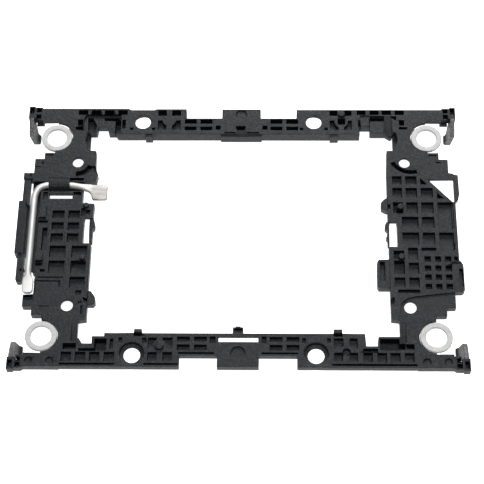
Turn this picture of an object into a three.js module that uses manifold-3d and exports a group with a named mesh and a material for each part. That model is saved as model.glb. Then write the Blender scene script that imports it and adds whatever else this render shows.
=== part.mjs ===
// Processor carrier frame: a flat moulded rectangle that carries a server processor package on the
// base of its heat sink. The long front and rear rails and the two wide side panels are one
// moulding, modelled here as its functional zones. A bent steel lever, hinged under a ribbed
// barrel on the left panel, pries the package off the heat sink. Four thin rings sit in the
// corners, round the heat sink's screws.
//
// Millimetres, +X right, +Y to the rear, +Z up. Z = 0 is the level of the corner hooks' tips.

import * as THREE from 'three';
import { mergeVertices } from 'three/addons/utils/BufferGeometryUtils.js';
import Module from 'manifold-3d';

const wasm = await Module();
wasm.setup();

// ---- Driving dimensions --------------------------------------------------------------------

const HEIGHT = 6.0; // tips of the corner hooks to the frame's top face
const PLATE = 2.4; // thickness of the panels and corners
const REAR_RAIL = 3.4; // depth of the rear rail and of the latch housings
const FRONT_RAIL = 2.0;
const FLOOR = HEIGHT - PLATE;
const RAIL_FLOOR = HEIGHT - REAR_RAIL; // the lowest underside, which rests on the heat sink
const FRONT_FLOOR = HEIGHT - FRONT_RAIL;
const POCKET = 1.4; // depth of the moulded pockets
const DEEP = 2.9; // depth of the narrow pockets in the deep parts of the rails
const THROUGH = 20; // cutters pass right through with this much height
const EPS = 0.15; // working gap at the root of a flexing arm

const REAR_EDGE = 38.8; // outer face of the rear rail
const FRONT_EDGE = 38.2; // outer face of the front rail, measured towards -Y
const SCREW_X = 50.4; // heat sink screws, half spacing
const SCREW_Y = 29.6;
const SCREW_CLEARANCE_R = 4.4; // round cut-out that the heat sink's screw passes through
const SCREW_CLEARANCE_Y = 29.75;
const RING_OUTER_R = 4.15;
const RING_INNER_R = 2.7;
const RING_THICKNESS = 0.9;
const RING_TOP = HEIGHT - 0.35;
const SKIN = 0.95; // top skin left over the reliefs in the underside

const NECK_X = 41.2; // inner face of the necks between the rails and the side panels
const ZONE_X = 45.5; // where the rails meet the corners
const ZONE_Y = 25.4; // where the corners meet the side panels

const WIRE_D = 1.8; // lever wire
const LEVER_Y = 14.6; // lever's hinge axis
const LEVER_Z = HEIGHT - 0.5;
const LEVER_ARM_X = -55.15; // the long arm of the lever

const CENTRE_X = -0.25; // middle of the overall footprint
const CENTRE_Y = 0.3;

// ---- Materials -----------------------------------------------------------------------------

const finish = (color, roughness, metalness = 0) =>
  () => new THREE.MeshStandardMaterial({ color, roughness, metalness });
const moulding = finish(0x202426, 0.62);
const steel = finish(0xd0cec9, 0.28, 1);
const ringNylon = finish(0xd9d9d6, 0.5);

// ---- Solids --------------------------------------------------------------------------------

function toSolid(geometry) {
  const plain = geometry.index ? geometry.toNonIndexed() : geometry.clone();
  plain.deleteAttribute('normal');
  plain.deleteAttribute('uv');
  const merged = mergeVertices(plain, 1e-5);
  return new wasm.Manifold(new wasm.Mesh({
    numProp: 3,
    vertProperties: new Float32Array(merged.attributes.position.array),
    triVerts: new Uint32Array(merged.index.array),
  }));
}

function toGeometry(solid) {
  const mesh = solid.getMesh();
  const geometry = new THREE.BufferGeometry();
  geometry.setAttribute('position', new THREE.BufferAttribute(Float32Array.from(mesh.vertProperties), 3));
  geometry.setIndex(new THREE.BufferAttribute(Uint32Array.from(mesh.triVerts), 1));
  const faceted = geometry.toNonIndexed();
  faceted.computeVertexNormals();
  return faceted;
}

function box([x0, x1], [y0, y1], [z0, z1]) {
  const geometry = new THREE.BoxGeometry(Math.abs(x1 - x0), Math.abs(y1 - y0), Math.abs(z1 - z0));
  geometry.translate((x0 + x1) / 2, (y0 + y1) / 2, (z0 + z1) / 2);
  return toSolid(geometry);
}

// Upright prism of an outline in plan.
function prism(outline, [z0, z1]) {
  const shape = outline instanceof THREE.Shape
    ? outline : new THREE.Shape(outline.map(([x, y]) => new THREE.Vector2(x, y)));
  const depth = z1 - z0;
  const geometry = new THREE.ExtrudeGeometry(shape, { depth, bevelEnabled: false, curveSegments: 12 });
  geometry.translate(0, 0, z0);
  return toSolid(geometry);
}

// Prism along Y of an outline given as [x, z] points.
function prismY(outline, [y0, y1]) {
  const shape = new THREE.Shape(outline.map(([x, z]) => new THREE.Vector2(x, z)));
  const geometry = new THREE.ExtrudeGeometry(shape, { depth: y1 - y0, bevelEnabled: false });
  geometry.rotateX(Math.PI / 2);
  geometry.translate(0, y1, 0);
  return toSolid(geometry);
}

// Prism along X of an outline given as [y, z] points.
function prismX(outline, [x0, x1]) {
  const shape = new THREE.Shape(outline.map(([y, z]) => new THREE.Vector2(y, z)));
  const geometry = new THREE.ExtrudeGeometry(shape, { depth: x1 - x0, bevelEnabled: false });
  geometry.rotateY(Math.PI / 2);
  geometry.rotateX(Math.PI / 2);
  geometry.translate(x0, 0, 0);
  return toSolid(geometry);
}

function disc([x, y], radius, [z0, z1], sides = 28) {
  const geometry = new THREE.CylinderGeometry(radius, radius, z1 - z0, sides);
  geometry.rotateX(Math.PI / 2);
  geometry.translate(x, y, (z0 + z1) / 2);
  return toSolid(geometry);
}

const join = (solid, others) => others.reduce((sum, other) => sum.add(other), solid);
const cut = (solid, cutters) => cutters.reduce((rest, cutter) => rest.subtract(cutter), solid);
const hole = (centre, radius) => disc(centre, radius, [-THROUGH, THROUGH]);
const slot = (xs, ys) => box(xs, ys, [-THROUGH, THROUGH]);
const pocket = (xs, ys, depth = POCKET) => box(xs, ys, [HEIGHT - depth, THROUGH]);
const trench = (outline, depth = POCKET) => prism(outline, [HEIGHT - depth, THROUGH]);

// Reliefs in the underside, below a thin top skin.
const underRound = (centre, radius) => disc(centre, radius, [-THROUGH, HEIGHT - SKIN]);
const underBox = (xs, ys) => box(xs, ys, [-THROUGH, HEIGHT - SKIN]);

// Every column crossed with every row: the ribs are what is left between the pockets.
const pocketGrid = (columns, rows, depth = POCKET) =>
  columns.flatMap((xs) => rows.map((ys) => pocket(xs, ys, depth)));

// A curved groove of even width, given by its centre line's circle.
function arcGroove([x, y], radius, width, from, to, depth = POCKET) {
  const shape = new THREE.Shape();
  shape.absarc(x, y, radius + width / 2, from, to, false);
  shape.absarc(x, y, radius - width / 2, to, from, true);
  return prism(shape, [HEIGHT - depth, THROUGH]);
}

const part = new THREE.Group();
part.position.set(-CENTRE_X, -CENTRE_Y, 0);

function place(name, solid, material = moulding()) {
  const mesh = new THREE.Mesh(toGeometry(solid), material);
  mesh.name = name;
  part.add(mesh);
}

// ---- Rails ---------------------------------------------------------------------------------

const mirrorX = (spans) => spans.flatMap(([x0, x1]) => [[x0, x1], [-x1, -x0]]);
const WAIST_POCKETS = mirrorX([[8.0, 11.2], [12.3, 15.5]]);
const RAIL_HOLE_R = 2.15;
const END_POCKETS = [[-44.9, -42.3], [-41.3, -38.7], [-37.7, -35.1], [-34.0, -31.4],
  [31.7, 34.0], [35.2, 37.6], [38.5, 41.0], [42.1, 44.5]];

function rearRail() {
  const outline = [
    [-ZONE_X, REAR_EDGE], [-31, REAR_EDGE], [-30.4, 38.4], [-23.9, 38.4], [-23.5, 38.7], [-15.1, 38.7],
    [-15.1, 35.7], [-5.3, 35.7], [-5.3, 38.6], [5.3, 38.6], [5.3, 35.7], [15.1, 35.7], [15.1, 38.5],
    [ZONE_X, 38.5], [ZONE_X, 31.8], [NECK_X, 31.8], [NECK_X, 30.8], [40.6, 30.4], [39.2, 31.4], [35.1, 31.4],
    [35.1, 33.5], [32.3, 33.5], [32.3, 30.6], [-33.8, 30.6], [-34.5, 31.5], [-36.3, 31.5],
    [-36.8, 33.5], [-39.3, 33.5], [-39.6, 31.5], [-ZONE_X, 31.5],
  ];
  const rail = join(prism(outline, [RAIL_FLOOR, HEIGHT]), [
    box([-26.2, -24.3], [29.9, 30.6], [RAIL_FLOOR, HEIGHT - 0.3]),
    box([24.2, 26.4], [29.9, 30.6], [RAIL_FLOOR, HEIGHT - 0.3]),
    box([-5.6, 5.6], [30.1, 30.6], [RAIL_FLOOR, HEIGHT - 0.5]),
    disc([27.4, 36.8], 0.95, [RAIL_FLOOR, HEIGHT + 0.9], 16),
  ]);
  const leftLatch = [
    trench([[-42.7, 36.8], [-33.0, 36.8], [-33.0, 31.0], [-43.3, 31.0], [-43.3, 35.6]], 0.8),
    trench([[-42.3, 36.2], [-40.9, 36.2], [-39.7, 33.6], [-40.4, 31.0], [-42.0, 31.0]], DEEP),
    trench([[-37.9, 36.2], [-33.8, 36.2], [-33.4, 35.3], [-37.6, 35.3]], 2.4),
    pocket([-34.6, -33.1], [31.3, 35.2], DEEP),
    pocket([-32.7, -31.8], [32.4, 35.2], DEEP),
  ];
  const rightLatch = [
    trench([[32.5, 36.7], [35.0, 36.7], [35.0, 33.0], [32.5, 33.0]], 0.4),
    trench([[35.2, 36.5], [39.2, 36.5], [39.0, 31.0], [35.0, 31.0]], 0.9),
    pocket([35.3, 39.1], [35.4, 36.3], DEEP),
    prismX([[36.3, HEIGHT], [36.3, THROUGH], [30.0, THROUGH], [30.0, HEIGHT - 2.0]], [39.4, 41.2]),
    trench([[40.6, 36.4], [42.4, 36.4], [42.3, 35.0]], DEEP),
    pocket([31.9, 32.6], [33.0, 35.2], DEEP),
  ];
  const details = [
    hole([-27.0, 34.5], RAIL_HOLE_R), hole([19.8, 34.5], RAIL_HOLE_R),
    underRound([-27.0, 35.1], 2.9), underRound([19.8, 35.1], 2.9),
    ...pocketGrid(END_POCKETS, [[36.9, 38.3]], DEEP),
    pocket([-44.9, -43.5], [33.4, 35.3], DEEP), pocket([-45.4, -43.4], [32.0, 32.9], DEEP),
    pocket([43.1, 44.5], [33.5, 35.2], DEEP), pocket([43.0, 45.3], [32.2, 32.9], DEEP),
    ...pocketGrid([[-22.9, -20.6], [-19.1, -16.7]], [[36.5, 38.3]], 2.4),
    ...pocketGrid([[24.2, 26.3], [28.3, 30.2]], [[36.6, 38.2]], DEEP),
    ...pocketGrid(WAIST_POCKETS, [[31.9, 33.0], [34.0, 35.3]], DEEP),
    pocket([-7.0, -5.7], [32.1, 33.3], DEEP), pocket([5.8, 7.1], [32.1, 33.3], DEEP),
    slot([-4.6, -1.6], [30.85, 31.3]), slot([1.5, 4.8], [30.85, 31.3]),
    underBox([-4.6, -1.6], [30.85, 31.7]), underBox([1.5, 4.8], [30.85, 31.7]),
    trench([[-1.5, 33.2], [1.2, 33.2], [0.9, 31.9], [-1.2, 31.9]], 2.4),
    prismX([[31.9, HEIGHT], [31.9, THROUGH], [29.9, THROUGH], [29.9, HEIGHT - 0.7]], [-1.3, 1.2]),
    disc([0, 36.9], 1.5, [HEIGHT - 0.5, THROUGH]),
    ...[[-30.5, -29.6], [-24.5, -23.6]].map((xs) => pocket(xs, [31.9, 32.7], 1.2)),
    ...[[16.0, 16.9], [22.7, 23.6]].map((xs) => pocket(xs, [31.9, 32.7], 1.2)),
    ...leftLatch, ...rightLatch,
  ];
  const bossPockets = [[-19.8, 35.1, -22.9, -16.7], [27.3, 34.6, 24.2, 30.2]];
  for (const [x, y, x0, x1] of bossPockets) {
    const quarter = pocketGrid([[x0, x - 0.8], [x + 0.8, x1]], [[32.0, 35.0]])
      .map((cutter) => cutter.subtract(disc([x, y], 1.9, [0, THROUGH], 20)));
    details.push(...quarter);
  }
  details.push(pocket([26.4, 28.4], [33.7, 35.7], DEEP));
  return cut(rail, details);
}

function frontRail() {
  const edge = -FRONT_EDGE;
  const outline = [
    [-ZONE_X, edge], [-14.9, edge], [-14.9, -35.1], [-5.3, -35.1], [-5.3, edge], [5.3, edge],
    [5.3, -35.1], [15.0, -35.1], [15.0, edge], [ZONE_X, edge], [ZONE_X, -31.4], [NECK_X, -31.4],
    [NECK_X, -29.7], [35.7, -29.7], [35.4, -32.3], [32.5, -32.3], [32.3, -28.9], [-34.2, -28.9],
    [-34.2, -29.8], [-37.3, -29.8], [-37.3, -32.4], [-39.4, -32.4], [-40.6, -30.4], [-NECK_X, -30.4],
    [-NECK_X, -31.4], [-ZONE_X, -31.4],
  ];
  const rail = join(prism(outline, [FRONT_FLOOR, HEIGHT]), [
    disc([-20.0, -32.6], 1.1, [FRONT_FLOOR, HEIGHT + 0.9], 18),
    box([-44.8, -33.0], [-34.0, -31.4], [RAIL_FLOOR, HEIGHT - 1]),
    box([-37.2, -33.0], [-34.0, -29.8], [RAIL_FLOOR, HEIGHT - 1]),
    box([35.6, 44.8], [-34.0, -31.4], [RAIL_FLOOR, HEIGHT - 1]),
    box([35.6, NECK_X], [-34.0, -29.8], [RAIL_FLOOR, HEIGHT - 1]),
  ]);
  const lipGroove = [[-45.2, -31.3], [-23.8, -15.2], [23.8, 45.2]];
  const details = [
    hole([-27.0, -34.5], RAIL_HOLE_R), hole([19.8, -34.5], RAIL_HOLE_R),
    ...[-27.0, 19.8].map((x) => disc([x, -34.5], 3.15, [HEIGHT - 1.3, THROUGH], 32)),
    underBox([-5.0, 5.1], [-31.3, -29.3]),
    ...pocketGrid(END_POCKETS, [[-36.8, -34.2]]),
    ...lipGroove.map((xs) => pocket(xs, [-37.7, -37.25], 1.2)),
    ...mirrorX([[6.0, 15.2]]).map((xs) => pocket(xs, [-34.65, -34.2], 1.2)),
    pocket([-26.6, -24.6], [-29.8, -28.95], 1.5), pocket([24.3, 26.5], [-29.8, -28.95], 1.5),
    ...pocketGrid([[-22.9, -20.6], [-19.1, -16.7], [24.3, 26.5], [28.0, 30.3]], [[-36.6, -34.2]]),
    ...pocketGrid(WAIST_POCKETS, [[-31.2, -29.9], [-33.6, -32.1]]),
    pocket([-7.2, -5.8], [-31.6, -29.8]), pocket([6.0, 7.2], [-31.6, -29.8]),
    slot([-5.0, 5.1], [-31.3, -29.9]),
    disc([0, -34.4], 1.9, [HEIGHT - 0.6, THROUGH]),
    pocket([-44.6, -41.2], [-33.5, -31.8], 2.6),
    pocket([-40.6, -36.2], [-34.0, -33.2], 1.5),
    pocket([-36.6, -33.5], [-33.8, -30.5], DEEP),
    pocket([-32.6, -31.8], [-33.3, -30.5], 1.6),
    pocket([36.0, 40.9], [-33.5, -30.3], DEEP), pocket([40.8, 42.3], [-33.3, -31.7], DEEP),
    pocket([31.7, 35.4], [-34.1, -33.0], 1.6),
    pocket([42.6, 44.6], [-33.2, -31.7], 2.6),
  ];
  for (const x0 of [-30.4, -24.4, 16.3, 22.6]) {
    details.push(pocket([x0, x0 + 0.9], [-31.4, -30.2], 1.2));
  }
  const bossPockets = [[-20.0, -32.6, -22.9, -16.7, 1.9], [27.5, -34.0, 24.3, 30.3, 1.8]];
  for (const [x, y, x0, x1, r] of bossPockets) {
    const quarter = pocketGrid([[x0, x - 0.8], [x + 0.8, x1]], [[-33.0, -30.2]])
      .map((cutter) => cutter.subtract(disc([x, y], r, [0, THROUGH], 20)));
    details.push(...quarter);
  }
  details.push(disc([27.5, -34.0], 1.0, [HEIGHT - 1.2, THROUGH], 20));
  return cut(rail, details);
}

place('rear_rail', rearRail());
place('front_rail', frontRail());

// ---- Corners -------------------------------------------------------------------------------

const CORNERS = [
  { name: 'rear_left', sx: -1, sy: 1, edge: REAR_EDGE, railY: 31.5, well: [37.2, 39.2] },
  { name: 'rear_right', sx: 1, sy: 1, edge: REAR_EDGE - 0.3, railY: 31.8, well: [37.0, 39.0] },
  { name: 'front_left', sx: -1, sy: -1, edge: FRONT_EDGE, railY: 31.4, well: [36.4, 38.3] },
  { name: 'front_right', sx: 1, sy: -1, edge: FRONT_EDGE, railY: 31.4, well: [36.4, 38.3] },
];
const WEB_INNER_Y = 34.4; // inner edge of the web along the screw cut-out
const BLOCK_X = [57.0, 58.6];
const BLOCK_IN_Y = 35.6;
const ARM_X = [57.15, 58.3]; // hook: a thin wall on edge that leans inwards to its catch
const ARM_TIP_Y = 30.8;
const CATCH_Y = 33.0;
const ARM_RAMP = 1.9; // how far the arm's top edge falls away towards its tip

for (const { name, sx, sy, edge, railY, well } of CORNERS) {
  const at = (points) => points.map(([x, y]) => [x * sx, y * sy]);
  const along = (points) => points.map(([y, z]) => [y * sy, z]);
  const across = (points) => points.map(([x, z]) => [x * sx, z]);
  const spanX = ([x0, x1]) => (sx > 0 ? [x0, x1] : [-x1, -x0]);
  const spanY = ([y0, y1]) => (sy > 0 ? [y0, y1] : [-y1, -y0]);

  const web = prism(at([
    [ZONE_X, edge], [54.6, edge], [55.1, edge + 0.4], [BLOCK_X[0], edge + 0.4], [BLOCK_X[0], WEB_INNER_Y],
    [50.3, WEB_INNER_Y + 0.1], [50.0, 34.0], [ZONE_X, 34.0],
  ]), [FLOOR, HEIGHT]);
  const neck = prism(at([
    [ZONE_X, 36], [ZONE_X, railY], [NECK_X, railY], [NECK_X, ZONE_Y], [50.5, ZONE_Y], [50.5, 34.0],
    [47.5, 36],
  ]), [FLOOR, HEIGHT]);
  const block = box(spanX(BLOCK_X), spanY([BLOCK_IN_Y, edge + 0.7]), [FLOOR, HEIGHT]);
  const leadIn = sy > 0
    ? trench(at([[NECK_X - 1, 31.3], [42.1, 31.3], [42.6, 29.0], [41.6, 25.6], [NECK_X - 1, 25.6]]), 2.1)
    : prismX(along([[25.6, HEIGHT], [25.6, THROUGH], [31.2, THROUGH], [31.2, HEIGHT - 1.7]]),
      spanX([NECK_X - 1, 42.7]));
  const ejectorMarks = sy < 0
    ? [47.7, 53.1].map((x) => disc([x * sx, -36.6], 1.0, [HEIGHT - 0.6, THROUGH], 20)) : [];
  place(`${name}_corner`, cut(join(web, [neck, block]), [
    hole([SCREW_X * sx, SCREW_CLEARANCE_Y * sy], SCREW_CLEARANCE_R),
    slot(spanX([SCREW_X, 60]), spanY([ZONE_Y - 1, WEB_INNER_Y - 0.05])),
    leadIn,
    box(spanX([46.2, 54.3]), spanY([33, edge - 0.9]), [-THROUGH, HEIGHT - SKIN]),
    slot(spanX([56.4, 57.1]), spanY([34, BLOCK_IN_Y])),
    pocket(spanX([57.2, 58.3]), spanY(well), 2.0),
    pocket(spanX([55.2, 56.5]), spanY([edge - 1.1, edge + 0.1]), 2.0),
    pocket(spanX([55.2, 56.5]), spanY([35.6, 36.9]), 2.0),
    pocket(spanX([54.6, 57.0]), spanY([WEB_INNER_Y, WEB_INNER_Y + 0.6]), 1.6),
    ...ejectorMarks,
  ]));

  const root = BLOCK_IN_Y - EPS;
  const leaning = prismY(across([
    [ARM_X[1], HEIGHT], [ARM_X[1], HEIGHT - 1.2], [57.5, 0], [56.0, 0], [55.5, 0.7], [55.6, 1.4],
    [56.2, 1.9], [ARM_X[0], HEIGHT - 1.1], [ARM_X[0], HEIGHT],
  ]), spanY([ARM_TIP_Y, root]));
  const underEdge = prismX(along([
    [root + 1, FLOOR], [root, FLOOR], [CATCH_Y, 1.6], [CATCH_Y, -1], [root + 1, -1],
  ]), [-60, 60]);
  const topRamp = prismX(along([
    [root + 1, THROUGH], [root + 1, HEIGHT], [root - 0.3, HEIGHT], [ARM_TIP_Y - 1, HEIGHT - ARM_RAMP],
    [ARM_TIP_Y - 1, THROUGH],
  ]), [-60, 60]);
  place(`${name}_hook`, cut(leaning, [underEdge, topRamp]));

  const ring = disc([SCREW_X * sx, SCREW_Y * sy], RING_OUTER_R, [RING_TOP - RING_THICKNESS, RING_TOP], 40)
    .subtract(disc([SCREW_X * sx, SCREW_Y * sy], RING_INNER_R, [-THROUGH, THROUGH], 32));
  place(`${name}_ring`, ring, ringNylon());
}

// ---- Left panel ----------------------------------------------------------------------------

const LEVER_SLOT_Y = [12.7, 15.55]; // trough that the lever's hinge wire lies in
const LEDGE_X = -55.0; // thin ledge that runs under the lever's arm
const TROUGH_Z = LEVER_Z - WIRE_D / 2 - 0.15;
const STRIP_GAP_LEFT = [-41.4, -39.9];
const STRIP_TOP_LEFT = 4.4;
const STRIP_END_LEFT = -3.1;

function leftPanel() {
  const outline = [
    [-50.5, ZONE_Y], [-50.6, 24.6], [-53.3, 24.6], [-53.3, 22.7], [-55.8, 22.7], [-55.8, 18.3],
    [-56.0, 18.3], [-56.0, 16.4], [-55.9, 11.6],
    [LEDGE_X, 9.8], [LEDGE_X, -10.4], [-54.2, -10.8], [-53.9, -11.8],
    [-53.2, -12.0], [-53.2, -13.2], [-53.3, -14.0], [-53.3, -18.0],
    [-55.9, -18.2], [-55.9, -21.5], [-53.4, -21.5], [-53.4, -23.9], [-50.8, -23.9], [-50.5, -ZONE_Y],
    [-NECK_X, -ZONE_Y], [-39.1, -25.1], [-39.1, STRIP_END_LEFT], [-39.1, 4.5], [-38.9, 8.8], [-42.2, 9.0],
    [-42.2, 15.5], [-38.8, 15.9], [-38.4, 17.8], [-39.2, 20.5], [-39.3, 25.2], [-NECK_X, ZONE_Y],
  ];
  const panel = join(prism(outline, [FLOOR, HEIGHT]), [
    box([-53.4, -51.4], [-8.7, -6.6], [FLOOR, HEIGHT + 1.1]),
    box([-53.3, -51.5], [4.2, 7.8], [FLOOR, HEIGHT + 0.9]),
    disc([-41.1, -7.6], 0.75, [FLOOR, HEIGHT + 1.0], 16),
    disc([-41.0, 8.0], 0.7, [FLOOR, HEIGHT + 0.9], 14),
    prism([[-39.1, -16.9], [-38.3, -17.0], [-37.2, -18.6], [-37.0, -20.2], [-37.6, -20.9], [-39.1, -20.9]],
      [FLOOR, HEIGHT - 0.2]),
  ]);
  const wide = [[-49.9, -46.7], [-45.6, -42.6]];
  return cut(panel, [
    hole([-44.1, 21.6], 1.5), hole([-44.3, -21.2], 1.6),
    underRound([-44.1, 22.2], 2.3), underRound([-44.3, -20.7], 2.3), underBox([-51.3, -44.9], [10.3, 12.5]),
    box([-57, -40], LEVER_SLOT_Y, [TROUGH_Z, THROUGH]),
    slot([-51.3, -44.9], [10.3, 11.8]),
    slot(STRIP_GAP_LEFT, [STRIP_END_LEFT, STRIP_TOP_LEFT]),
    slot([-40, -38], [STRIP_END_LEFT, STRIP_TOP_LEFT]),
    ...pocketGrid(wide, [[4.3, 6.7], [0.9, 3.1], [-2.9, -0.2]]),
    ...pocketGrid([[-49.9, -45.7], [-44.1, -40.1]], [[-7.4, -3.9], [-12.0, -8.3]])
      .map((cutter) => cutter.subtract(disc([-41.1, -7.6], 0.75, [0, THROUGH], 16))),
    pocket([-43.6, -40.2], [-9.4, -8.4], 2.0),
    underBox([-41.3, -40.0], [STRIP_TOP_LEFT, 5.5]),
    pocket([-44.1, -40.1], [-16.3, -13.0]),
    pocket([-42.3, -40.8], [-18.1, -16.9], 1.0),
    pocket([LEDGE_X - 1, -53.5], [-10.8, 12.8], 2.0), pocket([-52.2, -50.9], [-5.2, 1.5], 1.8),
    pocket([-53.6, -51.6], [-9.9, -9.0], 1.2), pocket([-52.0, -50.8], [-11.6, -10.8], 1.2),
    pocket([-53.4, -51.0], [2.9, 3.6], 1.0),
    pocket([-52.4, -45.8], [-13.3, -13.0], 1.0), pocket([-53.0, -46.6], [-14.4, -14.1], 0.8),
    pocket([-46.8, -46.5], [-15.9, -14.2], 0.8),
    pocket([-53.0, -51.0], [23.7, 24.1], 0.5), pocket([-53.9, -53.3], [20.9, 21.8], 0.5),
    pocket([-55.7, -54.2], [20.0, 20.3], 0.4),
    pocket([-45.8, -42.2], [15.9, 16.7], 2.0),
    trench([[-40.2, 20.5], [-39.0, 20.4], [-38.5, 18.0], [-39.2, 18.1]], 1.4),
    arcGroove([-44.1, 21.6], 3.6, 1.5, -1.65, -0.3, 2.0),
    pocket([-53.3, -52.8], [-17.8, -14.9], 0.4), pocket([-51.5, -49.0], [-21.6, -21.3], 0.3),
    trench([[-55.8, -18.4], [-53.5, -18.2], [-53.3, -19.5], [-54.6, -19.9], [-55.8, -19.4]], 1.3),
    slot([-41.5, -40.4], [-20.6, -20.0]), pocket([-40.7, -40.2], [-23.7, -21.2], 1.2),
    trench([[-40.4, -18.8], [-39.2, -19.2], [-39.2, -20.1], [-39.9, -20.2]], 1.5),
    pocket([-42.3, -41.4], [5.0, 7.4], 1.2), pocket([-41.0, -39.9], [5.6, 6.9], 1.2),
    pocket([-52.8, -51.6], [10.0, 12.4], 0.9), pocket([-44.7, -42.6], [11.4, 12.4], 1.4),
  ]);
}

place('left_panel', leftPanel());

// Ribbed cover over the lever's hinge wire: an arch across the trough.
const BARREL_X = [-51.4, -45.8];
const BORE_R = WIRE_D / 2 + 0.12;
function hingeBarrel() {
  const crown = LEVER_Z + BORE_R + 0.75;
  const body = prismX([
    [12.72, TROUGH_Z], [12.72, LEVER_Z + 0.5], [13.3, crown - 0.45], [14.1, crown], [15.2, crown],
    [16.0, crown - 0.45], [16.9, HEIGHT], [15.53, HEIGHT], [15.53, TROUGH_Z],
  ], BARREL_X);
  const bore = new THREE.CylinderGeometry(BORE_R, BORE_R, 20, 20);
  bore.rotateZ(Math.PI / 2);
  bore.translate(-48, LEVER_Y, LEVER_Z);
  const mouth = box([-60, -40], [LEVER_Y - BORE_R, LEVER_Y + BORE_R], [0, LEVER_Z]);
  const grooves = [];
  for (let x = BARREL_X[0] + 0.5; x < BARREL_X[1] - 0.4; x += 0.8) {
    grooves.push(box([x, x + 0.35], [10, 20], [crown - 0.25, THROUGH]));
  }
  return cut(body, [toSolid(bore), mouth, ...grooves]);
}
place('lever_hinge_barrel', hingeBarrel());

// Sprung bar along the left side, whose nib holds the lever down.
const BAR_ROOT_Y = 16.5;
place('latch_bar_root', box([-58.5, -56.0], [BAR_ROOT_Y, 18.3], [FLOOR - 0.6, HEIGHT])
  .subtract(pocket([-56.9, -56.3], [BAR_ROOT_Y + 0.2, 18.1], 0.6)));
place('lever_latch_bar', join(box([-58.3, -56.5], [8.6, BAR_ROOT_Y - EPS], [FLOOR, HEIGHT - 0.3]), [
  prismY([
    [-59.1, HEIGHT + 0.3], [-57.2, HEIGHT + 0.4], [-56.9, HEIGHT - 2.2], [-56.2, HEIGHT - 2.3],
    [-56.2, FLOOR - 0.6], [-59.1, FLOOR - 0.6],
  ], [-6.2, 9.5]),
  prism([[-58.3, -6.2], [-56.5, -6.2], [-56.5, -13.6], [-57.0, -14.3], [-57.9, -14.3], [-58.3, -13.7]],
    [FLOOR, HEIGHT - 0.3]),
  prism([[-56.6, -10.3], [-56.12, -10.7], [-56.12, -11.3], [-56.6, -11.7]], [LEVER_Z - 0.4, HEIGHT + 0.2]),
]).subtract(pocket([-57.4, -56.9], [-11.2, -10.5], 1.4)));

// Sprung fingers that grip the package's edges.
const FINGER = [FLOOR + 0.2, HEIGHT - 0.3];
place('left_package_latch', prism([
  [-39.9, STRIP_TOP_LEFT - EPS], [-38.9, STRIP_TOP_LEFT - EPS], [-38.4, 2.9], [-38.4, 1.7], [-38.95, 1.1],
  [-38.95, STRIP_END_LEFT + 0.5], [-39.75, STRIP_END_LEFT + 0.5], [-39.9, 1.2],
], FINGER));

// ---- Right panel ---------------------------------------------------------------------------

const STRIP_TOP_RIGHT = 3.4;
const STRIP_END_RIGHT = -3.9;
const RIGHT_PINS = [[42.5, 7.7], [42.3, -7.1]];

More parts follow.
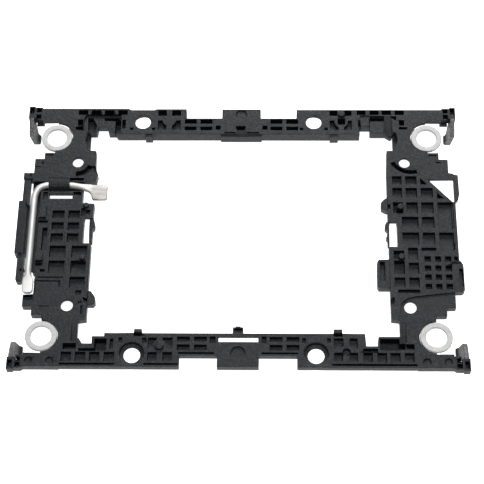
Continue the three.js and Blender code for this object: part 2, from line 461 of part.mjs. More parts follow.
function rightPanel() {
  const outline = [
    [50.5, ZONE_Y], [50.5, 24.7], [53.4, 24.7], [53.4, 22.7], [55.8, 22.6], [55.8, 18.5],
    [57.0, 18.3], [57.0, 16.5], [50.0, 16.5], [56.4, 9.6], [57.2, 9.6], [57.3, -7.8], [58.3, -8.9],
    [58.3, -16.4], [57.7, -16.9], [55.8, -16.9], [55.8, -21.4], [53.5, -21.4], [53.4, -23.7],
    [50.6, -23.7], [50.5, -ZONE_Y], [NECK_X, -ZONE_Y], [41.0, -25.0], [39.1, -24.8], [39.1, -16.2],
    [39.1, 6.8], [39.1, 18.5], [39.4, ZONE_Y],
  ];
  const panel = join(prism(outline, [FLOOR, HEIGHT]), [
    disc(RIGHT_PINS[0], 0.85, [FLOOR, HEIGHT + 1.0], 16),
    disc(RIGHT_PINS[1], 0.85, [FLOOR, HEIGHT + 1.0], 16),
    prism([[39.1, 10.9], [38.2, 10.4], [37.4, 9.4], [37.4, 7.7], [38.6, 7.0], [39.1, 6.9]],
      [FLOOR, HEIGHT - 0.2]),
  ]);
  const lowerPlate = [
    [56.0, -17.1], [49.0, -17.9], [45.6, -18.3], [43.4, -18.9], [41.8, -20.2], [41.4, -23.0],
    [43, -27], [57, -27], [57, -17.1],
  ];
  const cols = [[44.1, 47.1], [48.1, 51.3]];
  return cut(panel, [
    hole([44.1, 21.6], 1.5), hole([44.1, -21.3], 1.6),
    underRound([44.1, 22.2], 2.3), underRound([44.1, -20.8], 2.3),
    slot([39.4, 41.5], [STRIP_END_RIGHT, STRIP_TOP_RIGHT]),
    slot([38, 39.5], [STRIP_END_RIGHT, STRIP_TOP_RIGHT]),
    trench(lowerPlate, 0.45),
    arcGroove([45.8, 24.3], 5.6, 1.1, -2.65, -1.3, 1.9),
    underBox([39.6, 41.4], [STRIP_TOP_RIGHT, 4.6]), underBox([50.9, 60], [16.0, 18.0]),
    ...pocketGrid([[40.6, 43.1], [44.1, 47.1]], [[14.9, 17.4]]),
    trench([[48.1, 16.9], [49.9, 14.9], [48.1, 14.9]], 1.9),
    ...pocketGrid([[40.6, 43.1], [44.1, 47.1], [48.1, 51.3]], [[10.9, 13.8]]),
    trench([[52.4, 12.4], [54.2, 10.6], [52.4, 10.6]], 1.9),
    ...pocketGrid(cols, [[6.1, 9.4]]),
    pocket([40.6, 43.2], [6.1, 9.4], 2.0).subtract(disc(RIGHT_PINS[0], 0.85, [0, THROUGH], 16)),
    pocket([52.4, 56.1], [1.5, 9.4]),
    ...pocketGrid([[42.8, 47.1], [48.1, 51.3]], [[1.7, 5.0]]),
    ...pocketGrid([[42.8, 47.1], [48.1, 51.3]], [[-3.2, 0.3]]),
    pocket([52.4, 56.2], [-5.0, 0.3]),
    pocket([44.1, 46.6], [-7.7, -4.2]), pocket([47.6, 51.4], [-5.1, -4.2], 1.2),
    ...pocketGrid([[40.3, 43.0]], [[-7.5, -5.1], [-11.9, -8.0]], 1.9)
      .map((cutter) => cutter.subtract(disc(RIGHT_PINS[1], 0.85, [0, THROUGH], 16))),
    ...pocketGrid([[44.1, 46.7]], [[-11.8, -8.6]]),
    ...pocketGrid([[40.3, 43.0], [44.1, 46.7]], [[-15.6, -12.9]]),
    pocket([41.1, 46.7], [-17.4, -16.4], 1.2),
    ...pocketGrid([[48.25, 49.85], [51.0, 52.5], [53.6, 55.2]],
      [[-8.25, -6.7], [-10.95, -9.4], [-13.55, -12.0], [-16.25, -14.7]], 1.7),
    pocket([56.0, 56.9], [-8.1, -6.8], 1.5), pocket([57.1, 58.0], [-15.5, -10.3]),
    pocket([56.1, 56.5], [1.8, 9.2], 0.7), pocket([56.0, 56.4], [-4.8, -3.0], 0.8),
    pocket([50.7, 52.8], [23.7, 24.1], 0.5), pocket([52.6, 53.8], [21.5, 21.9], 0.5),
    trench([[39.2, 8.7], [39.9, 8.7], [39.9, 7.5], [39.3, 7.4]], 1.3),
    trench([[38, -18.5], [40.2, -18.6], [40.1, -20.3], [38, -20.8]], 2.0),
    box([55.3, 60], [-9.6, -8.6], [HEIGHT - 0.25, THROUGH]),
  ]);
}

place('right_panel', rightPanel());
place('right_guard_arm', prism([
  [57.0, 16.5], [57.0, 18.3], [58.3, 18.0], [58.4, 12.0], [58.0, 10.4], [57.2, 9.6], [57.0, 9.6],
], [HEIGHT - 1.6, HEIGHT - 0.3]));
place('right_package_latch', prism([
  [38.25, 1.7], [38.3, 2.7], [38.7, STRIP_TOP_RIGHT - EPS], [39.4, STRIP_TOP_RIGHT - EPS],
  [39.35, STRIP_END_RIGHT + 0.5], [38.9, STRIP_END_RIGHT + 0.5], [38.85, -1.7], [38.45, -1.1],
  [38.85, -0.4], [38.85, 1.1],
], FINGER));

// Key tab that fits one notch of the package, so that it goes in one way round.
place('key_tab', cut(prism([
  [39.1, -7.6], [36.4, -7.6], [35.9, -8.3], [35.8, -11.5], [35.8, -15.2], [36.2, -15.9], [39.1, -15.9],
], [FLOOR, HEIGHT - 0.1]), [pocket([36.6, 37.9], [-13.7, -8.3], 1.7)]));

// ---- Package stops on the rails ------------------------------------------------------------

place('front_left_stop', join(box([-26.6, -24.6], [-28.9, -27.8], [FRONT_FLOOR, HEIGHT + 0.1]), [
  box([-26.6, -24.6], [-28.9, -28.6], [FRONT_FLOOR, HEIGHT + 0.5])]));
place('front_right_stop', join(box([24.3, 26.5], [-28.9, -27.7], [FRONT_FLOOR, HEIGHT + 0.1]), [
  box([24.3, 26.5], [-28.9, -28.6], [FRONT_FLOOR, HEIGHT + 0.5])]));
place('front_centre_stop', join(box([-1.4, 1.3], [-28.9, -27.2], [FRONT_FLOOR, HEIGHT]), [
  box([-0.7, 0.6], [-27.9, -26.8], [FRONT_FLOOR, HEIGHT - 0.3]),
]).subtract(pocket([-1.0, 0.9], [-28.5, -27.5], 1.2)));

// ---- Release lever -------------------------------------------------------------------------

function sweep(points, radius, steps) {
  const curve = new THREE.CatmullRomCurve3(points.map((p) => new THREE.Vector3(...p)), false, 'centripetal');
  const section = new THREE.Shape();
  section.absarc(0, 0, radius, 0, Math.PI * 2, false);
  return toSolid(new THREE.ExtrudeGeometry(section, { steps, extrudePath: curve, curveSegments: 7 }));
}

const PAD_Y = -11.6; // where the long arm flattens into the finger pad
const BLADE_X = -42.7; // where the short arm flattens into the prying blade
place('lever_rod', sweep([
  [LEVER_ARM_X, PAD_Y, LEVER_Z], [LEVER_ARM_X, -4, LEVER_Z], [LEVER_ARM_X, 4, LEVER_Z],
  [LEVER_ARM_X, 10.6, LEVER_Z], [-54.85, 12.4, LEVER_Z], [-54.0, 13.8, LEVER_Z],
  [-52.4, LEVER_Y, LEVER_Z], [-51, LEVER_Y, LEVER_Z], [-48.5, LEVER_Y, LEVER_Z],
  [-46, LEVER_Y, LEVER_Z], [-44.5, 14.45, LEVER_Z], [-42.2, 14.0, LEVER_Z],
], WIRE_D / 2, 44).subtract(slot([BLADE_X, BLADE_X + 3], [10, 20])), steel());

// The wire's ends are pressed flat: a finger pad on the long arm and a prying blade on the short one.
const FLAT = 0.5; // half thickness of the flattened ends
place('lever_finger_pad', prism([
  [-54.4, PAD_Y - 0.02], [-55.8, PAD_Y - 0.02], [-55.9, -12.6], [-56.4, -13.3], [-56.35, -16.9],
  [-55.8, -17.7], [-54.3, -17.8], [-53.6, -17.2], [-53.5, -13.8], [-54.2, -12.9],
], [LEVER_Z - FLAT, LEVER_Z + FLAT]), steel());
place('lever_prying_blade', prism([
  [BLADE_X + 0.02, 13.1], [BLADE_X + 0.02, 14.9], [-40.6, 14.9], [-39.6, 14.7], [-36.0, 14.7], [-35.5, 14.2],
  [-35.6, 10.4], [-36.1, 10.0], [-39.4, 10.0], [-39.8, 10.5], [-39.9, 11.6], [-40.6, 12.5],
], [LEVER_Z - FLAT, LEVER_Z + FLAT]), steel());

export default part;
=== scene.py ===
"""Looks of the processor carrier frame: moulded plastic, steel lever and nylon rings."""

import math

import bmesh
import bpy
from mathutils import Matrix, Vector


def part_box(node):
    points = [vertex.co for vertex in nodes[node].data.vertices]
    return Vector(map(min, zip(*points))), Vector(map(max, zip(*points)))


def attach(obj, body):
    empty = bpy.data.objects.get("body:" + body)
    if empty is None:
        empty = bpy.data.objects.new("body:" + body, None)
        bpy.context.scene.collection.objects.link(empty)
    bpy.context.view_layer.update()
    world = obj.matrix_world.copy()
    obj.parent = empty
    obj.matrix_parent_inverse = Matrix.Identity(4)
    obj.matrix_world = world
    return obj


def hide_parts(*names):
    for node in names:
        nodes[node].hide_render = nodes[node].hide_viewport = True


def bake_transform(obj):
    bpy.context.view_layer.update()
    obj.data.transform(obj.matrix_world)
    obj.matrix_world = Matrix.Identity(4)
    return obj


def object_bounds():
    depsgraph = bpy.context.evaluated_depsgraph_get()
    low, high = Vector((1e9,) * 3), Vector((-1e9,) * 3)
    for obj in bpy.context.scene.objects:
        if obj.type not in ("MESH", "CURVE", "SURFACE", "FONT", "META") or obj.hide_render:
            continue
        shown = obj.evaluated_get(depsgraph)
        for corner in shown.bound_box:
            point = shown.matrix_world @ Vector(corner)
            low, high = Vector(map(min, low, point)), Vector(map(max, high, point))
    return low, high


MM = 0.001
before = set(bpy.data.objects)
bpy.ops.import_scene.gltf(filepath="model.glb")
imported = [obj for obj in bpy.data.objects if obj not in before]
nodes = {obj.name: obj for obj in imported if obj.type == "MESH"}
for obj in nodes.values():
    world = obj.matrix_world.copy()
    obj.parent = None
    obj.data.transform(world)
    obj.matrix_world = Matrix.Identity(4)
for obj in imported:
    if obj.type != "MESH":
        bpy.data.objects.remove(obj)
cad_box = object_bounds()

CORNERS = {"rear_left": (-1, 1), "rear_right": (1, 1), "front_left": (-1, -1), "front_right": (1, -1)}
MOULDING = [
    "rear_rail", "front_rail", "left_panel", "right_panel", "lever_hinge_barrel", "latch_bar_root",
    "right_guard_arm", "key_tab", "front_left_stop", "front_right_stop", "front_centre_stop",
] + [f"{corner}_corner" for corner in CORNERS]


# ---- Camera and light ----------------------------------------------------------------------

CAMERA_PLACE = (9.55, -186.16, 354.66)  # mm
TILT, LEAN, SPIN = 0.4838, 0.022, 0.0028  # radians about X, Y and Z
LENS = 111.57
SENSOR_WIDTH = 36.0
NEAREST = 0.01
WORLD_LIGHT = 0.27
FLOOR_SIZE = 4.0
FLOOR_DROP = 0.02 * MM
WHITE = (1.0, 1.0, 1.0, 1.0)
PAPER = (0.93, 0.93, 0.93, 1.0)


def add_camera():
    """View from high over the front rail, 28 degrees away from straight down."""
    data = bpy.data.cameras.new("camera")
    data.lens = LENS
    data.sensor_width = SENSOR_WIDTH
    data.clip_start = NEAREST
    camera = bpy.data.objects.new("camera", data)
    camera.location = Vector(CAMERA_PLACE) * MM
    turn = Matrix.Rotation(TILT, 3, "X") @ Matrix.Rotation(LEAN, 3, "Y") @ Matrix.Rotation(SPIN, 3, "Z")
    camera.rotation_euler = turn.to_euler()
    bpy.context.scene.collection.objects.link(camera)
    bpy.context.scene.camera = camera


def add_area_light(name, location, target, size, power):
    data = bpy.data.lights.new(name, "AREA")
    data.size = size
    data.energy = power
    light = bpy.data.objects.new(name, data)
    light.location = location
    light.rotation_euler = (Vector(target) - Vector(location)).to_track_quat("-Z", "Y").to_euler()
    bpy.context.scene.collection.objects.link(light)


def add_studio():
    """Soft light from above and from behind, over a floor that glows like a light table."""
    scene = bpy.context.scene
    scene.view_settings.view_transform = "Standard"
    world = bpy.data.worlds.new("studio")
    world.use_nodes = True
    background = world.node_tree.nodes["Background"]
    background.inputs["Color"].default_value = WHITE
    background.inputs["Strength"].default_value = WORLD_LIGHT
    scene.world = world
    add_area_light("softbox", location=(0.05, -0.03, 0.95), target=(0, 0, 0), size=0.4, power=4.5)
    add_area_light("rear_softbox", location=(0.04, 0.72, 0.62), target=(0, 0.02, 0), size=0.5, power=7.5)

    bpy.ops.mesh.primitive_plane_add(size=FLOOR_SIZE, location=(0, 0, cad_box[0][2] - FLOOR_DROP))
    floor = bpy.context.object
    floor.name = "floor"
    material = bpy.data.materials.new("floor_paper")
    material.use_nodes = True
    shader = material.node_tree.nodes["Principled BSDF"]
    shader.inputs["Base Color"].default_value = PAPER
    shader.inputs["Roughness"].default_value = 0.9
    shader.inputs["Specular IOR Level"].default_value = 0.1
    shader.inputs["Emission Color"].default_value = WHITE
    shader.inputs["Emission Strength"].default_value = 1.0
    floor.data.materials.append(material)


# ---- Materials -----------------------------------------------------------------------------

DARK_COOL, DARK_WARM = (0.0058, 0.0088, 0.0125), (0.0120, 0.0124, 0.0150)
# Pale colours for the painted highlight on the hooks' outer sides, standing in for reflected light.
HIGHLIGHT_DULL, HIGHLIGHT_PALE = (0.07, 0.071, 0.072), (0.18, 0.18, 0.178)
WIRE_DULL, WIRE_BRIGHT = (0.52, 0.52, 0.51), (0.66, 0.66, 0.65)
PRESSED_DULL, PRESSED_BRIGHT = (0.24, 0.232, 0.218), (0.38, 0.368, 0.348)
NYLON_DULL, NYLON_PALE = (0.46, 0.46, 0.45), (0.56, 0.56, 0.555)
# Factors on the colours above: the darkest and the lightest grain or patch.
SPECKLE = ((0.4, 0.41, 0.42), (1.25, 1.25, 1.25))
CLOUD = ((0.72, 0.73, 0.76), (1.15, 1.14, 1.12))
CUT_GRAIN = ((0.86, 0.86, 0.86), (1.0, 1.0, 1.0))
PAINTED_HIGHLIGHT_FROM = 56.0 * MM  # painted highlight: the hooks are painted pale on their outer sides, beyond this, for reflected light
PAINTED_HIGHLIGHT_WIDTH = 0.9 * MM
BLADE_FADE = 1.5 * MM  # where the wire's look turns into the blade's
# The colour sockets of a Mix node go by number, because their names repeat.
MIX_SHARE, MIX_A, MIX_B, MIX_RESULT = 0, 6, 7, 2


class Nodes:
    """Short calls for building a material's node tree."""

    def __init__(self, name):
        self.material = bpy.data.materials.new(name)
        self.material.use_nodes = True
        self.tree = self.material.node_tree
        self.shader = self.tree.nodes["Principled BSDF"]
        self.place = self.tree.nodes.new("ShaderNodeTexCoord").outputs["Object"]

    def set(self, **values):
        for name, value in values.items():
            self.shader.inputs[name.replace("_", " ")].default_value = value

    def link(self, output, target):
        self.tree.links.new(output, self.shader.inputs[target] if isinstance(target, str) else target)

    def noise(self, scale, detail=2.0, stretch=(1, 1, 1)):
        """Noise whose scale is in features per metre, times stretch along each axis."""
        mapping = self.tree.nodes.new("ShaderNodeMapping")
        mapping.inputs["Scale"].default_value = stretch
        self.link(self.place, mapping.inputs["Vector"])
        texture = self.tree.nodes.new("ShaderNodeTexNoise")
        texture.inputs["Scale"].default_value = scale
        texture.inputs["Detail"].default_value = detail
        self.link(mapping.outputs["Vector"], texture.inputs["Vector"])
        return texture.outputs["Fac"]

    def ramp(self, value, *stops):
        """Colour from two (position, colour) stops."""
        node = self.tree.nodes.new("ShaderNodeValToRGB")
        for element, (position, colour) in zip(node.color_ramp.elements, stops):
            element.position = position
            element.color = (*colour, 1.0)
        self.link(value, node.inputs["Fac"])
        return node.outputs["Color"]

    def span(self, value, low, high):
        node = self.tree.nodes.new("ShaderNodeMapRange")
        node.inputs["To Min"].default_value = low
        node.inputs["To Max"].default_value = high
        self.link(value, node.inputs["Value"])
        return node.outputs["Result"]

    def mix(self, share, a, b, blend="MIX"):
        """share of b over a, or all of b when share is None."""
        node = self.tree.nodes.new("ShaderNodeMix")
        node.data_type = "RGBA"
        node.blend_type = blend
        if share is None:
            node.inputs[MIX_SHARE].default_value = 1.0
        else:
            self.link(share, node.inputs[MIX_SHARE])
        self.link(a, node.inputs[MIX_A])
        self.link(b, node.inputs[MIX_B])
        return node.outputs[MIX_RESULT]

    def multiply(self, a, b):
        return self.mix(None, a, b, "MULTIPLY")

    def beyond(self, axis, start, width, both_ways=False):
        """0 before start along an axis, rising to 1 over width."""
        parts = self.tree.nodes.new("ShaderNodeSeparateXYZ")
        self.link(self.place, parts.inputs["Vector"])
        distance = parts.outputs[axis]
        if both_ways:
            size = self.tree.nodes.new("ShaderNodeMath")
            size.operation = "ABSOLUTE"
            self.link(distance, size.inputs[0])
            distance = size.outputs[0]
        node = self.tree.nodes.new("ShaderNodeMapRange")
        node.inputs["From Min"].default_value = start
        node.inputs["From Max"].default_value = start + width
        self.link(distance, node.inputs["Value"])
        return node.outputs["Result"]

    def bump(self, height, strength, distance, normal=None):
        node = self.tree.nodes.new("ShaderNodeBump")
        node.inputs["Strength"].default_value = strength
        node.inputs["Distance"].default_value = distance
        self.link(height, node.inputs["Height"])
        if normal is not None:
            self.link(normal, node.inputs["Normal"])
        return node.outputs["Normal"]


def moulded_plastic(name, highlight_from=None):
    """Charcoal glass-filled plastic: speckled spark-eroded grain over faint flow marks.

    The second argument is the distance to either side of the frame's middle, along X, beyond which
    the surface gets a painted highlight: pale colour that stands in for reflected light.
    """
    n = Nodes(name)
    flow = n.ramp(n.noise(110, 3.0, stretch=(1.0, 2.0, 1.0)), (0.3, DARK_COOL), (0.7, DARK_WARM))
    speckle = n.ramp(n.noise(2400, 3.0), (0.34, SPECKLE[0]), (0.66, SPECKLE[1]))
    cloud = n.ramp(n.noise(620, 2.0), (0.35, CLOUD[0]), (0.65, CLOUD[1]))
    colour = n.multiply(flow, cloud)
    # Painted highlight: pale colour beyond the given distance along X, standing in for reflected light.
    if highlight_from is not None:
        painted_highlight = n.noise(800, 3.0, stretch=(1.0, 0.4, 1.0))
        painted_highlight = n.ramp(painted_highlight, (0.3, HIGHLIGHT_DULL), (0.7, HIGHLIGHT_PALE))
        colour = n.mix(n.beyond("X", highlight_from, PAINTED_HIGHLIGHT_WIDTH, both_ways=True), colour, painted_highlight)
    n.link(n.multiply(colour, speckle), "Base Color")
    n.link(n.span(n.noise(1400, 2.0), 0.3, 0.66), "Roughness")
    n.set(Specular_IOR_Level=0.24)
    grain = n.bump(n.noise(5200, 2.0), 0.7, 0.05 * MM)
    n.link(n.bump(n.noise(2100, 2.0), 1.0, 0.13 * MM, grain), "Normal")
    return n.material


def lever_steel():
    """Drawn wire, pale along its length, with a duller and warmer prying blade."""
    n = Nodes("lever_steel")
    wire = n.noise(900, 3.0, stretch=(0.2, 0.2, 1.0))
    wire = n.ramp(wire, (0.3, WIRE_DULL), (0.7, WIRE_BRIGHT))
    pressed = n.noise(1500, 3.0, stretch=(0.12, 1.0, 1.0))
    pressed = n.ramp(pressed, (0.3, PRESSED_DULL), (0.7, PRESSED_BRIGHT))
    blade = n.beyond("X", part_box("lever_prying_blade")[0][0] + BLADE_FADE, BLADE_FADE)
    n.link(n.mix(blade, wire, pressed), "Base Color")
    duller = n.mix(blade, n.span(n.noise(500, 2.0), 0.5, 0.62), n.span(n.noise(1300, 2.0), 0.36, 0.52))
    n.link(duller, "Roughness")
    n.set(Metallic=0.75)
    drawn = n.bump(n.noise(2600, 2.0, stretch=(0.25, 0.25, 1.0)), 0.25, 0.02 * MM)
    n.link(n.bump(n.noise(4200, 2.0, stretch=(0.08, 1.0, 1.0)), 0.2, 0.015 * MM, drawn), "Normal")
    return n.material


def ring_nylon():
    """Natural nylon, faintly translucent, with a fine cut grain."""
    n = Nodes("ring_nylon")
    cloud = n.ramp(n.noise(420, 3.0), (0.3, NYLON_DULL), (0.7, NYLON_PALE))
    grain = n.ramp(n.noise(2600, 2.0), (0.35, CUT_GRAIN[0]), (0.65, CUT_GRAIN[1]))
    n.link(n.multiply(cloud, grain), "Base Color")
    n.link(n.span(n.noise(900, 2.0), 0.42, 0.55), "Roughness")
    n.set(Subsurface_Weight=0.1, Subsurface_Scale=0.4 * MM)
    n.link(n.bump(n.noise(3000, 2.0), 0.25, 0.02 * MM), "Normal")
    return n.material


# ---- Mesh helpers --------------------------------------------------------------------------

SAME_POINT = 0.0005 * MM  # corners of the CAD's triangles that are one point
WELD = 0.004 * MM
SLIVER = 0.01 * MM
FLAT = math.radians(0.6)  # faces that turn less than this are one face
SHARP = math.radians(28)  # edges that turn more than this are rounded
RADIUS_STEPS = 2
FACE_WEIGHT = 80


def add_mesh(name, bm):
    """Turns bm into a new mesh object in the scene."""
    mesh = bpy.data.meshes.new(name)
    bm.to_mesh(mesh)
    bm.free()
    obj = bpy.data.objects.new(name, mesh)
    bpy.context.scene.collection.objects.link(obj)
    return obj


def clean_copy(node, name):
    """A new mesh object with a CAD node's shape."""
    bm = bmesh.new()
    bm.from_mesh(nodes[node].data)
    bmesh.ops.remove_doubles(bm, verts=bm.verts, dist=SAME_POINT)
    return add_mesh(name, bm)


def apply_modifiers(obj):
    graph = bpy.context.evaluated_depsgraph_get()
    mesh = bpy.data.meshes.new_from_object(obj.evaluated_get(graph))
    obj.modifiers.clear()
    obj.data = mesh


def edit(obj, change):
    """Runs change(bm) on the object's mesh."""
    bm = bmesh.new()
    bm.from_mesh(obj.data)
    change(bm)
    bm.to_mesh(obj.data)
    bm.free()


def clean_faces(bm):
    """Joins the CAD's triangles into flat faces and cuts them again into well-shaped ones."""
    bmesh.ops.remove_doubles(bm, verts=bm.verts, dist=WELD)
    bmesh.ops.dissolve_limit(bm, angle_limit=FLAT, verts=bm.verts, edges=bm.edges)
    bmesh.ops.triangulate(bm, faces=bm.faces, ngon_method="BEAUTY")
    bmesh.ops.dissolve_degenerate(bm, dist=SLIVER, edges=bm.edges)


def shade_smooth(obj):
    for polygon in obj.data.polygons:
        polygon.use_smooth = True


def soften(obj, width):
    """Rounds the edges as a mould does, and keeps the faces flat between them."""
    bevel = obj.modifiers.new("edge_radius", "BEVEL")
    bevel.width = width
    bevel.segments = RADIUS_STEPS
    bevel.limit_method = "ANGLE"
    bevel.angle_limit = SHARP
    bevel.use_clamp_overlap = False
    bevel.miter_outer = "MITER_SHARP"
    apply_modifiers(obj)
    shade_smooth(obj)


def flatten_shading(obj):
    weighted = obj.modifiers.new("flat_faces", "WEIGHTED_NORMAL")
    weighted.keep_sharp = False
    weighted.weight = FACE_WEIGHT


def finish_piece(obj, material, slot, *replaced):
    obj.data.materials.clear()
    obj.data.materials.append(material)
    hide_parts(*replaced)


def join_rings(bm, ring, following):
    """Four-sided faces between two closed rings of as many points."""
    for i in range(len(ring)):
        j = (i + 1) % len(ring)
        bm.faces.new((ring[i], ring[j], following[j], following[i]))


# ---- The moulding --------------------------------------------------------------------------

MOULD_RADIUS = 0.09 * MM


def build_moulding(material):
    """Rails, panels, corners and stops as the one moulding that they are."""
    body = clean_copy(MOULDING[0], "carrier_moulding")
    for node in MOULDING[1:]:
        other = clean_copy(node, f"join_{node}")
        union = body.modifiers.new(node, "BOOLEAN")
        union.operation = "UNION"
        union.solver = "MANIFOLD"
        union.object = other
        apply_modifiers(body)
        bpy.data.objects.remove(other)
    edit(body, clean_faces)
    soften(body, MOULD_RADIUS)
    flatten_shading(body)
    finish_piece(body, material, "moulding", *MOULDING)
    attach(body, "frame")


# ---- Sprung arms ---------------------------------------------------------------------------

ARM_RADIUS = 0.07 * MM
ROOT_GROWTH = 0.35 * MM  # carries the arm's root over the gap and into the moulding
ROOT_FACE = 0.02 * MM  # points this near the root's end belong to its face
BEND_STEPS = 12
HOOK_BEND = 2.4 * MM
LATCH_BAR_BEND = 7.0 * MM
PACKAGE_LATCH_BEND = 3.0 * MM
ARM_BODIES = {f"{corner}_hook": f"{corner}_hook" for corner in CORNERS}
ARM_BODIES["lever_latch_bar"] = "latch_bar"
ARM_BODIES["left_package_latch"] = "left_package_latch"
ARM_BODIES["right_package_latch"] = "right_package_latch"


def build_sprung_arm(node, end, bend, material):
    """An arm that grows out of the moulding, cut into rings over its first stretch.

    end is +1 where the root is the arm's rear end and -1 where it is the front end, and bend is
    the length, from the moulding's face, that is cut into rings.
    """
    arm = clean_copy(node, f"{node}_arm")
    low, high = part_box(node)
    root = high[1] if end > 0 else low[1]

    def grow_root(bm):
        for vertex in bm.verts:
            if abs(vertex.co.y - root) < ROOT_FACE:
                vertex.co.y += end * ROOT_GROWTH

    def cut_rings(bm):
        for i in range(1, BEND_STEPS):
            y = root - end * bend * i / BEND_STEPS
            geometry = bm.verts[:] + bm.edges[:] + bm.faces[:]
            bmesh.ops.bisect_plane(bm, geom=geometry, plane_co=(0, y, 0), plane_no=(0, 1, 0))

    edit(arm, grow_root)
    edit(arm, clean_faces)
    soften(arm, ARM_RADIUS)
    edit(arm, cut_rings)
    finish_piece(arm, material, "moulding", node)
    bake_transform(arm)
    flatten_shading(arm)


# ---- Screw rings ---------------------------------------------------------------------------

RING_EDGE = 0.16 * MM
RING_SIDES = 96
EDGE_STEPS = 4


def build_ring(corner, material):
    """A thin washer with soft edges, turned round its own axis."""
    node = f"{corner}_ring"
    low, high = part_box(node)
    centre = Vector(((low[0] + high[0]) / 2, (low[1] + high[1]) / 2, 0))
    outer = (high[0] - low[0]) / 2 - RING_EDGE
    radii = [(Vector((v.co.x, v.co.y, 0)) - centre).length for v in nodes[node].data.vertices]
    inner = min(radii) + RING_EDGE
    bottom, top = low[2] + RING_EDGE, high[2] - RING_EDGE
    profile = []
    quarters = [(outer, top, 0), (inner, top, 90), (inner, bottom, 180), (outer, bottom, 270)]
    for radius, height, start in quarters:
        for step in range(EDGE_STEPS + 1):
            angle = math.radians(start + 90 * step / EDGE_STEPS)
            profile.append((radius + RING_EDGE * math.cos(angle), height + RING_EDGE * math.sin(angle)))
    bm = bmesh.new()
    rings = []
    for i in range(RING_SIDES):
        turn = 2 * math.pi * i / RING_SIDES
        c, s = math.cos(turn), math.sin(turn)
        rings.append([bm.verts.new((centre.x + r * c, centre.y + r * s, z)) for r, z in profile])
    for ring, following in zip(rings, rings[1:] + rings[:1]):
        join_rings(bm, ring, following)
    bmesh.ops.recalc_face_normals(bm, faces=bm.faces)
    ring = add_mesh(f"{corner}_screw_ring", bm)
    shade_smooth(ring)
    flatten_shading(ring)
    finish_piece(ring, material, "ring", node)
    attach(ring, "frame")


# ---- Release lever -------------------------------------------------------------------------

WIRE_R = 0.9  # mm
SECTION_POINTS = 32
PATH_STEPS = 8
# Offsets in mm from where the lever's arm line crosses its hinge line.
BEND = [(0, -25.4), (0, -18), (0, -10), (0, -4.6), (0.28, -2.5), (1.15, -0.85), (2.75, -0.06), (4.2, 0),
        (6.7, 0), (9.2, 0), (10.6, -0.14), (11.75, -0.35)]
# The flattened ends, in mm: distance along the wire's line, lowest and highest edge across it,
# half thickness, and squareness as in section().
PAD = [(-32.2, -0.55, 1.05, 0.34, 4), (-31.9, -0.95, 1.45, 0.43, 5), (-31.4, -1.23, 1.63, 0.45, 6),
       (-28.6, -1.25, 1.63, 0.45, 6), (-28.0, -1.21, 1.5, 0.49, 4.5), (-27.5, -1.0, 1.15, 0.58, 3.2),
       (-26.9, -0.88, 1.0, 0.72, 2.5), (-26.2, -0.88, 0.92, 0.85, 2.1)]
BLADE = [(12.55, -1.43, 0.4, 0.86, 2.1), (13.35, -1.65, 0.35, 0.76, 2.3), (14.15, -1.95, 0.3, 0.64, 2.7),
         (14.75, -2.3, 0.28, 0.54, 3.2), (15.2, -3.0, 0.22, 0.47, 4), (15.5, -4.2, 0.16, 0.45, 5),
         (15.85, -4.52, 0.1, 0.44, 6), (17.6, -4.6, 0.1, 0.44, 6), (19.0, -4.6, 0.1, 0.44, 6),
         (19.35, -4.45, -0.1, 0.42, 5), (19.55, -4.2, -0.4, 0.34, 4)]


def section(centre, side, half_width, half_thickness, squareness):
    """A superellipse across the wire: round at 2, a flat strip with soft edges from about 4."""
    points = []
    for i in range(SECTION_POINTS):
        turn = 2 * math.pi * i / SECTION_POINTS
        c, s = math.cos(turn), math.sin(turn)
        across = math.copysign(abs(c) ** (2 / squareness), c) * half_width
        up = math.copysign(abs(s) ** (2 / squareness), s) * half_thickness
        points.append((centre + side * across + Vector((0, 0, up))) * MM)
    return points


def smooth_path(points):
    """Catmull-Rom curve through the points."""
    ends = [points[0] * 2 - points[1], *points, points[-1] * 2 - points[-2]]
    path = []
    for a, b, c, d in zip(ends, ends[1:], ends[2:], ends[3:]):
        for i in range(PATH_STEPS):
            t = i / PATH_STEPS
            path.append(0.5 * (2 * b + (c - a) * t + (2 * a - 5 * b + 4 * c - d) * t * t
                               + (3 * b - a - 3 * c + d) * t ** 3))
    return path + [points[-1]]


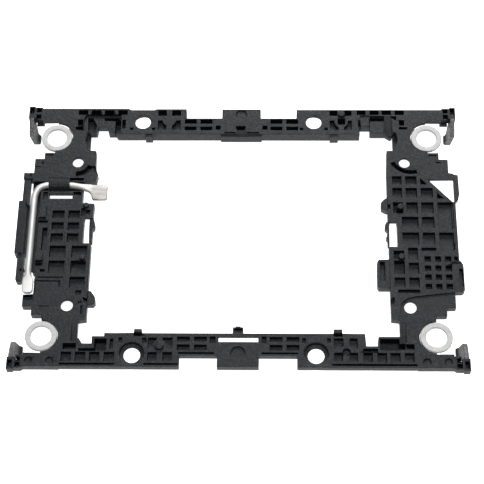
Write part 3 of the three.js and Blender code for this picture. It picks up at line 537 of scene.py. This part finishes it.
def loft(name, sections):
    """A closed skin over rings of points, with a flat face at each end."""
    bm = bmesh.new()
    rings = [[bm.verts.new(point) for point in ring] for ring in sections]
    for ring, following in zip(rings, rings[1:]):
        join_rings(bm, ring, following)
    bm.faces.new(reversed(rings[0]))
    bm.faces.new(rings[-1])
    bmesh.ops.recalc_face_normals(bm, faces=bm.faces)
    obj = add_mesh(name, bm)
    for polygon in obj.data.polygons:
        polygon.use_smooth = len(polygon.vertices) == 4
    return obj


def build_lever(material):
    """One wire: round along its length, pressed into a finger pad and a prying blade at its ends."""
    low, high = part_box("lever_rod")
    corner = Vector((low[0] / MM + WIRE_R, high[1] / MM - WIRE_R, (low[2] + high[2]) / MM / 2))
    sections = []
    for distance, x0, x1, thickness, squareness in PAD:
        centre = corner + Vector(((x0 + x1) / 2, distance, 0))
        sections.append(section(centre, Vector((1, 0, 0)), (x1 - x0) / 2, thickness, squareness))
    path = smooth_path([Vector((x, y, 0)) for x, y in BEND])
    for before, point, after in zip([path[0]] + path, path, path[1:] + [path[-1]]):
        ahead = (after - before).normalized()
        side = Vector((ahead.y, -ahead.x, 0))
        sections.append(section(corner + point, side, WIRE_R, WIRE_R, 2))
    for distance, y0, y1, thickness, squareness in BLADE:
        centre = corner + Vector((distance, (y0 + y1) / 2, 0))
        sections.append(section(centre, Vector((0, -1, 0)), (y1 - y0) / 2, thickness, squareness))
    lever = loft("release_lever_wire", sections)
    finish_piece(lever, material, "steel", "lever_rod", "lever_finger_pad", "lever_prying_blade")
    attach(lever, "release_lever")


# ---- Scene ---------------------------------------------------------------------------------

add_camera()
add_studio()
plastic = moulded_plastic("charcoal_plastic")
# The hooks' plastic carries a painted highlight, pale colour for reflected light, on its outer sides.
highlit = moulded_plastic("highlit_charcoal_plastic", highlight_from=PAINTED_HIGHLIGHT_FROM)
steel = lever_steel()
nylon = ring_nylon()
build_moulding(plastic)
for corner, (_, side) in CORNERS.items():
    build_sprung_arm(f"{corner}_hook", side, HOOK_BEND, highlit)
    build_ring(corner, nylon)
build_sprung_arm("lever_latch_bar", 1, LATCH_BAR_BEND, plastic)
build_sprung_arm("left_package_latch", 1, PACKAGE_LATCH_BEND, plastic)
build_sprung_arm("right_package_latch", 1, PACKAGE_LATCH_BEND, plastic)
build_lever(steel)
